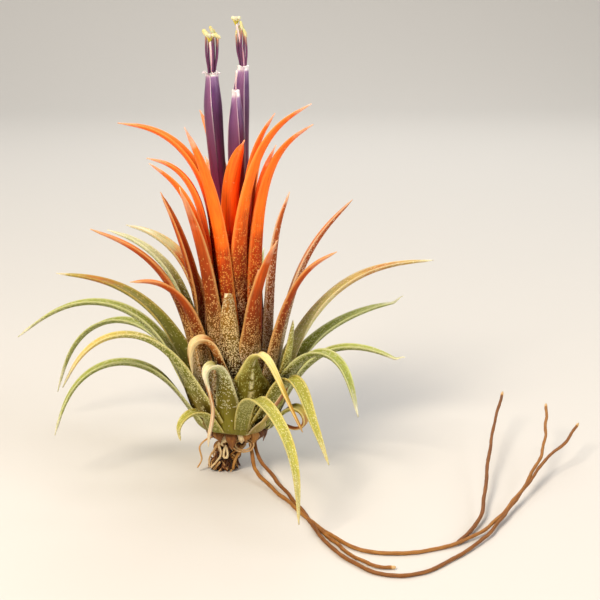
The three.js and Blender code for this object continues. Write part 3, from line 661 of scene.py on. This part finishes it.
# Three flowers stand on the crown's flat top. The petals of each are rolled over one another in a slim tube,
# thin and a little glossy, violet with paler free edges and a whitish lip.
FLOWERS = {  # path of the tube as x, y, z and radius, where a petal's free edge runs, how far the lip flares
    "left": (
        [(-2.05, 0.2, 31.4, 0.75), (-2.1, 0.25, 40, 0.8), (-2.3, 0.4, 50, 1.15), (-3.1, 0.5, 64, 1.6)]
        + [(-4, 0.2, 76, 1.9), (-4.4, 0, 84, 2), (-4.5, 0, 90, 1.42), (-4.5, 0, 91.6, 1.5)],
        262,
        0.5,
    ),
    "right": (
        [(1.15, 1.75, 31.4, 0.75), (1.3, 1.85, 40, 0.8), (1.5, 2, 50, 1.15), (1.5, 2, 64, 1.6)]
        + [(1.4, 1.9, 76, 1.9), (1.5, 1.8, 84, 2), (2.1, 1.6, 91, 1.34), (2.3, 1.5, 92.8, 1.08)],
        292,
        0.22,
    ),
    "front": (
        [(1.05, -1.8, 31.4, 0.75), (1.05, -1.9, 40, 0.8), (0.9, -2, 50, 1.15), (0.8, -2.3, 64, 1.6)]
        + [(0.8, -2.7, 74, 1.85), (0.8, -2.8, 80, 1.75), (0.8, -2.8, 85.6, 1.05), (0.8, -2.8, 88, 0.74)],
        284,
        0.06,
    ),
}
PETAL_ROWS = 72
PETAL_COLUMNS = 20
PETAL_SPAN = math.radians(158)  # how far a petal wraps round the tube
PETAL_THICKNESS = 0.26
PETAL_TWIST = math.radians(-50)  # how far its edges wind round from foot to lip
LIP_FROM = 0.95  # share of the tube where the lip starts to curl out

# Petal: satin and thin, with fine veins along it 0.25 mm apart, deep at its foot and nearly white at its lip.
petal_skin, node = start_material(
    "violet_petal",
    Roughness=0.34,
    IOR=1.4,
    Subsurface_Weight=0.25,
    Subsurface_Scale=0.0007,
    Subsurface_Radius=(0.7, 0.4, 0.9),
    Sheen_Weight=0.15,
)
along = node("Attribute", out="Fac", attribute_name="along")
overlap = node("Attribute", out="Fac", attribute_name="across")
skin = node("Attribute", out="Vector", attribute_name="skin")
fibre = node("VectorMath", [skin, (4, 0.12, 1)], operation="MULTIPLY")
veins = node("TexNoise", {"Vector": fibre, "Scale": 1.0, "Detail": 3.0})
patches = node("TexNoise", {"Vector": skin, "Scale": 0.16, "Detail": 2.0})
drift = node("MapRange", [patches, 0, 1, -0.03, 0.03])
place = node("Math", [along, drift], operation="ADD")
violets = {0.3: "#7a2044", 0.5: "#681c42", 0.66: "#50204a", 0.8: "#5e3868"}
violets |= {0.885: "#9c7aa4", 0.93: "#f8f0f4"}
violet = node("ValToRGB", [place], stops=violets)
shade = node("MapRange", [veins, 0.3, 0.7, 0.72, 1.25])
veined = node("VectorMath", {0: violet, 3: shade}, operation="SCALE")
# High on the tube each petal pales towards its free edge, which is a thin whitish line.
fade = node("MapRange", [overlap, 0.55, 0.98, 0, 0.6])
high = node("MapRange", [along, 0.5, 0.74])
pallor = node("Math", [fade, high], operation="MULTIPLY")
paled = node("Mix", {0: pallor, 6: veined, 7: linear("#946082")}, out=2, data_type="RGBA")
line = node("MapRange", [overlap, 0.95, 1.0, 0, 0.9])
edge = node("Math", [line, high], operation="MULTIPLY")
colour = node("Mix", {0: edge, 6: paled, 7: linear("#f0dde8")}, out=2, data_type="RGBA")
relief = node("Bump", {"Height": veins, "Strength": 0.5, "Distance": 0.00008})
finish_material(petal_skin, colour, relief)


def tube_at(path, share):
    """The tube's centre and radius at a share of its path."""
    centre = through([spot[:3] for spot in path], share)
    return centre, through([(i, 0, spot[3]) for i, spot in enumerate(path)], share).z


def make_petals(name, path, free_edge, flare):
    """Three petals of one flower, each a thin closed body that tucks one edge under the next petal."""
    points, faces, along, across, skin = [], [], [], [], []
    for petal in range(3):
        first = len(points)
        for i in range(PETAL_ROWS + 1):
            for j in range(2 * PETAL_COLUMNS + 2):
                outside = j <= PETAL_COLUMNS
                share_across = (j if outside else 2 * PETAL_COLUMNS + 1 - j) / PETAL_COLUMNS
                bulge = abs(2 * share_across - 1)
                top = 1 - 0.03 * bulge**2.4
                share = top * i / PETAL_ROWS
                centre, radius = tube_at(path, share)
                turn = math.radians(free_edge) + petal * 2 * math.pi / 3 + PETAL_TWIST * (share - 0.85)
                turn += (share_across - 1) * PETAL_SPAN
                reach = radius * mix(0.93, 1.05, share_across)
                # The lip curls out in ragged waves.
                wave = noise((turn * 3.5, petal * 4, 1))
                lip = ease(share, LIP_FROM, 1) * flare
                reach += lip * (0.9 + 1.6 * wave)
                if not outside:
                    reach -= PETAL_THICKNESS * (1 - 0.6 * bulge**4 * (1 - ease(share, 0.9, 1)))
                drop = lip * (0.8 * bulge + 1.4 * wave)
                x = centre.x + reach * math.cos(turn)
                y = centre.y + reach * math.sin(turn)
                points.append((x, y, centre.z - drop))
                along.append(share)
                across.append(share_across)
                skin.append((share_across * PETAL_SPAN * radius, share * 60, petal * 9 + 5 * outside))
        faces += lofted(PETAL_ROWS + 1, 2 * PETAL_COLUMNS + 2, first)
    looks = {"along": along, "across": across, "skin": skin}
    make_piece(f"rolled_petals_{name}", points, faces, petal_skin, f"petals_{name}", "petal", **looks)


for name, flower in FLOWERS.items():
    make_petals(name, *flower)

# Three sepals grow round the foot of each tube as one narrow cup. The leaves hide nearly all of it, so its
# plain shape is kept. Sepal: thin and papery, pale with fine veins 0.3 mm apart.
sepal, node = start_material("papery_sepal", Roughness=0.6, Subsurface_Weight=0.15, Subsurface_Scale=0.0005)
place = node("TexCoord", out="Object")
fibre = node("VectorMath", [place, (3500, 3500, 180)], operation="MULTIPLY")
veins = node("TexNoise", {"Vector": fibre, "Scale": 1.0, "Detail": 3.0})
tone = node("ValToRGB", [veins], stops={0.3: "#a8795c", 0.7: "#dcb79a"})
relief = node("Bump", {"Height": veins, "Strength": 0.4, "Distance": 0.0001})
finish_material(sepal, tone, relief)
for name in FLOWERS:
    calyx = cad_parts[f"calyx_{name}"]
    calyx.data.materials.clear()
    calyx.data.materials.append(sepal)

# Stamens: six violet filaments pressed in a bundle and a style stand out of each open tube. An anther sits
# across the end of each filament, dusty cream with pollen, and the style ends in a brighter folded stigma.
# The closed flower shows only its pale style.
FILAMENT_RADIUS = 0.3
FILAMENT_FOOT = 0.45  # share of the tube where the visible filaments start
FILAMENT_STEPS = 36
FILAMENTS = 6
ANTHER_STEPS = 10
STAMENS = {  # offset in x and y and rise above the mouth of each anther, its tilt, half width and half length
    "left": (
        [(-1.05, -0.6, 8, 38, 0.52, 0.9), (0.2, -0.5, 8.6, 22, 0.38, 0.85), (1.45, -0.4, 7.4, 62, 0.46, 0.95)]
        + [(-0.6, 0.8, 7.4, 25, 0.36, 0.8), (0.4, 0.9, 7.8, -10, 0.36, 0.8), (1.1, 0.7, 7.6, 35, 0.36, 0.8)],
        (-0.25, -0.9, 6.9),
    ),
    "right": (
        [(-0.25, -0.6, 8.2, 14, 0.34, 1.05), (0.5, -0.5, 6.6, 20, 0.36, 1), (-1.5, 0.5, 6.6, -8, 0.26, 0.8)]
        + [(-0.9, 0.8, 7.4, -5, 0.28, 0.8), (0.1, 0.8, 7.2, 12, 0.3, 0.85), (-0.6, 0.9, 6.4, 10, 0.28, 0.8)],
        (-1.5, -0.3, 9.2),
    ),
}


def tube_points(path, radii, sides, wobble=0, salt=0):
    """Rings of a round strand through an even path, with a radius for each of its points."""
    rings = []
    run = (path[1] - path[0]).normalized()
    side = run.orthogonal().normalized()
    for i, (centre, radius) in enumerate(zip(path, radii)):
        run = (path[min(i + 1, len(path) - 1)] - path[max(i - 1, 0)]).normalized()
        side = (side - run * side.dot(run)).normalized()
        other = run.cross(side)
        for k in range(sides):
            turn = k / sides * 2 * math.pi
            reach = radius * (1 + wobble * noise((i * 0.35, 2 * math.cos(turn) + salt, 2 * math.sin(turn))))
            rings.append(centre + (side * math.cos(turn) + other * math.sin(turn)) * reach)
    return rings


# Filament: smooth, moist and deep violet, paler where the light comes through.
filament, node = start_material(
    "violet_filament", Roughness=0.35, Subsurface_Weight=0.3, Subsurface_Scale=0.0004, IOR=1.4
)
along = node("Attribute", out="Fac", attribute_name="along")
skin = node("Attribute", out="Vector", attribute_name="skin")
streak = node("TexNoise", {"Vector": skin, "Scale": 1.4, "Detail": 2.0})
violet = node("ValToRGB", [along], stops={0: "#6d3b78", 0.6: "#4e2148", 0.92: "#683a5c", 1: "#b98c6c"})
shade = node("MapRange", [streak, 0.3, 0.7, 0.7, 1.35])
colour = node("VectorMath", {0: violet, 3: shade}, operation="SCALE")
finish_material(filament, colour)

# Pollen sac and stigma: rough with grains about 0.1 mm across, drawn larger so that they show.
pollen, node = start_material("yellow_pollen", Roughness=0.8, Subsurface_Weight=0.2, Subsurface_Scale=0.0004)
along = node("Attribute", out="Fac", attribute_name="along")
skin = node("Attribute", out="Vector", attribute_name="skin")
grains = node("TexVoronoi", {"Vector": skin, "Scale": 5.0})
cream = {0: "#f8f2cc", 0.44: "#efe28c", 0.55: "#dcc820", 0.72: "#ecdc54", 0.84: "#f8f2cc"}
yellow = node("ValToRGB", [along], stops=cream)
shade = node("MapRange", [grains, 0, 0.7, 1.08, 0.72])
colour = node("VectorMath", {0: yellow, 3: shade}, operation="SCALE")
relief = node("Bump", {"Height": grains, "Strength": 0.7, "Distance": 0.0001}, invert=True)
finish_material(pollen, colour, relief)

# Style: a smooth pale thread, pinkish at its foot.
style, node = start_material("pale_style", Roughness=0.4, Subsurface_Weight=0.3, Subsurface_Scale=0.0004)
along = node("Attribute", out="Fac", attribute_name="along")
pale = node("ValToRGB", [along], stops={0.3: "#7a4a80", 0.6: "#b07a98", 0.85: "#cfa0ac", 1: "#ecd9d4"})
finish_material(style, pale)


def make_stamens(name, stamens, stigma):
    """The filaments, style, anthers and stigma of one open flower as one piece of three tissues."""
    path = FLOWERS[name][0]
    mouth = Vector(path[-1][:3])
    points, faces, along, skin = [], [], [], []

    def add_strand(line, radii, sides, low, rise, place, *rough):
        """A strand whose shares rise from low. place gives the spot on the skin for a ring and a side."""
        rings = len(line)
        faces.extend(lofted(rings, sides, len(points)))
        points.extend(tube_points(line, radii, sides, *rough))
        for i in range(rings):
            along.extend([low + rise * i / (rings - 1)] * sides)
            skin.extend(place(i, k) for k in range(sides))

    def round_about(salt):
        return lambda i, k: (salt + math.cos(k), i * 0.2, math.sin(k))

    ends = [Vector(stamen[:3]) for stamen in stamens] + [Vector(stigma)]
    for n, end in enumerate(ends):
        turn = math.atan2(end.y, end.x)
        pack = Vector((math.cos(turn), math.sin(turn), 0)) * 0.72
        radius = FILAMENT_RADIUS
        if n == FILAMENTS:
            style_from = len(faces)
            pack = Vector((0.1, -0.5, 0))
            radius *= 1.1
        deep, _ = tube_at(path, FILAMENT_FOOT)
        halfway, _ = tube_at(path, 0.72)
        bent = mouth + pack * 1.2 + Vector((end.x * 0.3, end.y * 0.3, end.z * 0.45))
        bends = [deep + pack * 0.7, halfway + pack, mouth + pack, bent, mouth + end]
        line = evenly(bends, FILAMENT_STEPS, 120)
        radii = [radius * mix(1, 0.75, i / FILAMENT_STEPS) for i in range(FILAMENT_STEPS + 1)]
        add_strand(line, radii, 8, 0, 1, lambda i, k: (n * 3, i * 0.5, k))
    yellow_from = len(faces)
    steps = range(ANTHER_STEPS + 1)
    for n, (x, y, rise, tilt, half_width, half_length) in enumerate(stamens):
        lean = math.radians(tilt)
        run = Vector((-math.sin(lean), 0.25 * math.cos(n * 2.1), math.cos(lean))).normalized()
        heart = mouth + Vector((x, y, rise)) + run * 0.25
        line = [heart + run * (half_length * math.cos(math.pi * (1 - i / ANTHER_STEPS))) for i in steps]
        radii = [half_width * max(0.12, math.sin(math.pi * i / ANTHER_STEPS)) ** 0.55 for i in steps]
        add_strand(line, radii, 10, 0, 0.5, round_about(n * 3), 0.25, n)
    # The stigma's three lobes spread from a funnel and fold back.
    top = mouth + Vector(stigma)
    radii = [mix(0.2, 0.42, ease(i, 0, 8)) * (0.6 if i == ANTHER_STEPS else 1) for i in steps]
    for lobe in range(3):
        turn = lobe * 2 * math.pi / 3 + 0.5
        away = Vector((math.cos(turn), math.sin(turn), 0))
        bends = [top - Vector((0, 0, 0.7)), top + away * 0.22, top + away * 0.62 + Vector((0, 0, 0.75))]
        line = evenly(bends + [top + away * 1.15 + Vector((0, 0, 0.8))], ANTHER_STEPS, 60)
        add_strand(line, radii, 10, 0.55, 0.4, round_about(50 + lobe), 0.3, lobe)
    looks = {"along": along, "skin": skin}
    cluster = f"stamen_cluster_{name}"
    piece = make_piece(cluster, points, faces, filament, f"stamens_{name}", "stamen", **looks)
    piece.data.materials.append(style)
    piece.data.materials.append(pollen)
    tissue = [int(i >= style_from) + int(i >= yellow_from) for i in range(len(faces))]
    piece.data.polygons.foreach_set("material_index", tissue)


for name, (stamens, stigma) in STAMENS.items():
    make_stamens(name, stamens, stigma)

# The closed flower's style: a pale thread that pokes out of the tube's tip.
path = FLOWERS["front"][0]
mouth = Vector(path[-1][:3])
deep, _ = tube_at(path, FILAMENT_FOOT)
above = [mouth + Vector((0.1, 0, 2.2)), mouth + Vector((0.3, 0, 4))]
line = evenly([deep, mouth - Vector((0, 0, 3)), mouth, *above], 40)
radii = [mix(0.24, 0.15, i / 40) + 0.1 * ease(i, 37, 40) for i in range(41)]
rings = tube_points(line, radii, 10)
along = [i / 40 for i in range(41) for _ in range(10)]
make_piece("style_front", rings, lofted(41, 10), style, "stamens_front", "stamen", along=along)

# The stump: old short roots matted round the foot of the stem, brittle and brown, with shreds of dead leaf
# base. The plant stands on its flat worn end.
STUMP_CORE = [(0, 3.9), (2.4, 2.9), (5, 2.8), (7.4, 3.6), (9, 4.2)]  # height and radius
STUMP_OFFSET = [(-3.2, -0.6), (-3, -0.5), (-2, -0.3), (-0.8, 0), (0, 0)]
CORE_RINGS = 19
CORE_AROUND = 32
STUMP_ROOTS = 120
STUMP_LOOPS = 26
STUMP_SHREDS = 22
ROOT_SHADES = (0.08, 0.16, 0.28, 0.42, 0.56, 0.8)
SHRED_SHADES = (0.34, 0.5, 0.66, 0.95)
LOOSE_ROOTS = [  # path, radius at its start and end, shade, steps
    ([(-3.4, -1, 7.6), (-6, -1.4, 7.8), (-8.6, -2.6, 6), (-8.2, -3.4, 3), (-9.2, -3.6, 1)],
     0.24, 0.18, 0.8, 40),
    ([(-3, -4, 9), (-4, -4.8, 7.4), (-3.6, -5, 5.6), (-3.9, -4.8, 4.2), (-6, -4.4, 1.4)],
     0.26, 0.2, 0.95, 34),
    ([(-3.6, -4, 8), (-5.2, -4.4, 5.8), (-6.4, -4.2, 3.4), (-6.2, -4, 1.2)], 0.26, 0.2, 0.85, 30),
    ([(1, -3.4, 6.6), (0.6, -3.6, 5), (-0.4, -3.6, 3), (-1, -3.6, 0.6)], 0.4, 0.3, 0.74, 30),
]
random.seed(14)

# Dry root: a fibrous skin in streaks from dark brown to straw, with wrinkles along it.
root_skin, node = start_material("dry_root", Roughness=0.62, IOR=1.45, Subsurface_Weight=0.05)
shade = node("Attribute", out="Fac", attribute_name="shade")
skin = node("Attribute", out="Vector", attribute_name="skin")
fibre = node("VectorMath", [skin, (2.4, 0.35, 2.4)], operation="MULTIPLY")
fibres = node("TexNoise", {"Vector": fibre, "Scale": 1.3, "Detail": 5.0, "Roughness": 0.6})
spread = node("MapRange", [fibres, 0, 1, -0.38, 0.38])
tint = node("Math", [shade, spread], operation="ADD")
browns = {0: "#180a05", 0.26: "#48230a", 0.5: "#804a16", 0.76: "#b88036", 1: "#efd8a6"}
brown = node("ValToRGB", [tint], stops=browns)
relief = node("Bump", {"Height": fibres, "Strength": 0.8, "Distance": 0.00015})
finish_material(root_skin, brown, relief)


class Strands:
    """Gathers round strands and flat shreds, each a closed body, for one piece."""

    def __init__(self):
        self.points, self.faces, self.shade, self.skin = [], [], [], []

    def add(self, rings, around, points, shade):
        first = len(self.points)
        salt = len(self.faces) * 0.37
        self.faces += lofted(rings, around, first)
        self.points += [(p[0], p[1], max(p[2], 0.01)) for p in points]
        self.shade += [shade] * len(points)
        for i in range(rings):
            for k in range(around):
                turn = k / around * 2 * math.pi
                self.skin.append((math.cos(turn) + salt, i * 0.5, math.sin(turn)))

    def root(self, points, start, end, shade, steps=24, sides=8, wobble=0.25, kink=0):
        """A round strand of uneven thickness, bent from its path by kinks."""
        line = evenly(points, steps, 4 * steps)
        for i, spot in enumerate(line[2:]):
            spot.x += kink * noise((i * 0.09, len(self.faces), 0))
            spot.y += kink * noise((i * 0.09, len(self.faces), 5))
        radii = [mix(start, end, i / steps) for i in range(steps + 1)]
        radii[-1] *= 0.5
        self.add(steps + 1, sides, tube_points(line, radii, sides, wobble, len(self.faces)), shade)

    def shred(self, points, width, shade, steps=12):
        """A papery shred: a thin strap that narrows to its end, dished across."""
        line = evenly(points, steps, 4 * steps)
        rings = []
        for i, centre in enumerate(line):
            run = (line[min(i + 1, steps)] - line[max(i - 1, 0)]).normalized()
            level = run.cross(Vector((centre.x + 1, centre.y, 0))).normalized()
            out = level.cross(run)
            half = width / 2 * (1 - (i / steps) ** 1.6) + 0.08
            for k in range(8):
                turn = k / 8 * 2 * math.pi
                u = math.cos(turn)
                dish = 0.25 * half * u * u
                rings.append(centre + level * (half * u) + out * (0.09 * math.sin(turn) - dish))
        self.add(steps + 1, 8, rings, shade)

    def make(self, name, stands_for):
        """All the strands as one piece of dry root."""
        looks = {"shade": self.shade, "skin": self.skin}
        make_piece(name, self.points, self.faces, root_skin, stands_for, "root", **looks)


def core_at(height):
    """The stump's centre and radius at a height."""
    share = 0
    while share < 1 and through([(r, 0, z) for z, r in STUMP_CORE], share).z < height:
        share += 0.02
    radius = through([(r, 0, z) for z, r in STUMP_CORE], min(share, 1)).x
    offset = through([(x, y, 0) for x, y in STUMP_OFFSET], min(share, 1))
    return offset, radius


def beside_core(height, turn, share):
    """A point at a share of the stump's radius at a height, in a direction from its middle."""
    offset, radius = core_at(height)
    return offset + Vector((math.cos(turn), math.sin(turn), 0)) * (radius * share) + Vector((0, 0, height))


stump = Strands()
core = []
for i in range(CORE_RINGS):
    for k in range(CORE_AROUND):
        turn = k / CORE_AROUND * 2 * math.pi
        lump = 0.62 + 0.16 * noise((2 * math.cos(turn), 2 * math.sin(turn), i * 0.3))
        core.append(beside_core(i * 0.5, turn, lump))
# The core is nearly black: painted shade in the gaps between the strands.
stump.add(CORE_RINGS, CORE_AROUND, core, 0.05)
for n in range(STUMP_ROOTS):
    turn = random.uniform(0, 2 * math.pi)
    line = []
    for height in (9.2, 7.8, 6.2, 4.6, 3, 1.5, 0.2):
        turn += random.uniform(-0.6, 0.6)
        place = max(0.2, height + random.uniform(-0.5, 0.5))
        line.append(beside_core(place, turn, random.uniform(0.55, 1.06)))
    start = random.uniform(0.15, 0.34)
    stump.root(line, start, start * random.uniform(0.6, 0.9), random.choice(ROOT_SHADES), 34, 7)
for n in range(STUMP_LOOPS):
    turn = random.uniform(0, 2 * math.pi)
    height = random.uniform(3, 8.4)
    swing = random.uniform(0.2, 0.6) * random.choice((-1, 1))
    line = [beside_core(height, turn, 0.7), beside_core(height - 0.3, turn + 0.4 * swing, 1.15)]
    line.append(beside_core(height - 1.2, turn + swing, 1.24))
    line.append(beside_core(max(0.4, height - 2.4), turn + 0.7 * swing, 0.8))
    stump.root(line, random.uniform(0.16, 0.26), 0.15, random.uniform(0.4, 0.95), 24, 7)
for n in range(STUMP_SHREDS):
    turn = n / STUMP_SHREDS * 2 * math.pi + random.uniform(-0.15, 0.15)
    across = Vector((math.cos(turn), math.sin(turn), 0))
    hang = random.uniform(1, 3.4)
    line = [across * 6.6 + Vector((0, 0, 10.8)), across * 7.3 + Vector((0, 0, 9.9 - 0.2 * hang))]
    line.append(across * random.uniform(4.6, 7.4) + Vector((0, 0, 9 - hang)))
    stump.shred(line, random.uniform(1.6, 3.4), random.choice(SHRED_SHADES))
# In front: two pale shreds, a root folded into a drop, another in a ring of two turns, and four loose ones.
stump.shred([(-1.6, -5, 9.6), (-2.6, -5.4, 9), (-3.6, -5.4, 8), (-3, -5.2, 7)], 2.2, 1.0)
stump.shred([(-0.6, -5.6, 8.8), (-1.2, -5.2, 7), (-0.9, -5, 5.8)], 1.2, 0.86)
line = [(-2.5, -4.2, 6.9), (-3, -4.6, 5), (-2.9, -4.6, 4), (-2.3, -4.6, 3.9)]
line += [(-2.1, -4.6, 5), (-2.4, -4.2, 6.6)]
stump.root(line, 0.3, 0.24, 1.0, 40)
for size in (1, 0.72):
    ring = [(0.6, -2, 7.8)]
    for k in range(9):
        turn = math.pi * (0.8 + k * 0.25)
        ring.append((1.5 + 2.5 * size * math.cos(turn), -4.6 - 0.1 * k, 7.2 + 1.75 * size * math.sin(turn)))
    stump.root(ring, 0.22, 0.16, 0.82, 44)
for strand in LOOSE_ROOTS:
    stump.root(*strand)
stump.make("matted_stump", "root_stump")

# Four wiry roots run from the stump over the surface in a wide bend, tough and springy. One ends in the bend,
# and the others lift towards their tips.
LONG_ROOTS = [
    [(3.3, -1.9, 8.4), (3.1, -2.9, 6.4), (3.7, -5.4, 2.8), (7.2, -12, 0.9), (12, -21.6, 0.5)]
    + [(17, -31.6, 0.5), (21.6, -39.4, 0.6), (27, -45.2, 0.5), (35, -46.6, 0.5), (43.5, -44, 0.5)]
    + [(50, -39.6, 0.9), (56, -32.6, 1.4), (62, -22.4, 2.4), (68.4, -9.6, 4.6), (72.6, 3, 7), (75, 16.4, 9.6)],
    [(4.2, -0.2, 8.4), (4.2, -1.5, 6.4), (5.6, -4.6, 3.2), (8.8, -10.4, 1.2), (12.8, -19.6, 0.6)]
    + [(16.6, -31.4, 0.5), (19.6, -40.8, 0.5), (24.4, -49.6, 0.5), (31.4, -56, 0.5), (37.6, -55.2, 0.5)]
    + [(45.4, -48.6, 0.5), (52.4, -40, 0.9), (57.6, -31, 1.5), (63.6, -20.2, 2.6), (71, -7.4, 5)]
    + [(76.4, -1.6, 6.6), (81, 7, 8)],
    [(17, -31.6, 0.5), (21.4, -41.2, 0.5), (25.8, -49, 0.6), (29.4, -52, 0.5), (33.4, -52.8, 0.5)],
    [(46.6, -42.2, 0.6), (51.4, -34.6, 1.2), (54.8, -22, 2.6), (57.6, -7.6, 4.6)]
    + [(61, 8, 7), (65.6, 24, 10)],
]
LONG_ROOT_RADII = (0.44, 0.34)
LONG_ROOT_SHADES = (0.58, 0.48, 0.54, 0.44)
LONG_ROOT_SIDES = 12
TIP_SHADE = 0.86  # the last three rings, where the root grows, are pale
roots = Strands()
for line, shade in zip(LONG_ROOTS, LONG_ROOT_SHADES):
    roots.root(line, *LONG_ROOT_RADII, shade, 14 * len(line), LONG_ROOT_SIDES, 0.3, 0.6)
    roots.shade[-3 * LONG_ROOT_SIDES :] = [TIP_SHADE] * 3 * LONG_ROOT_SIDES
roots.make("trailing_roots", "long_roots")
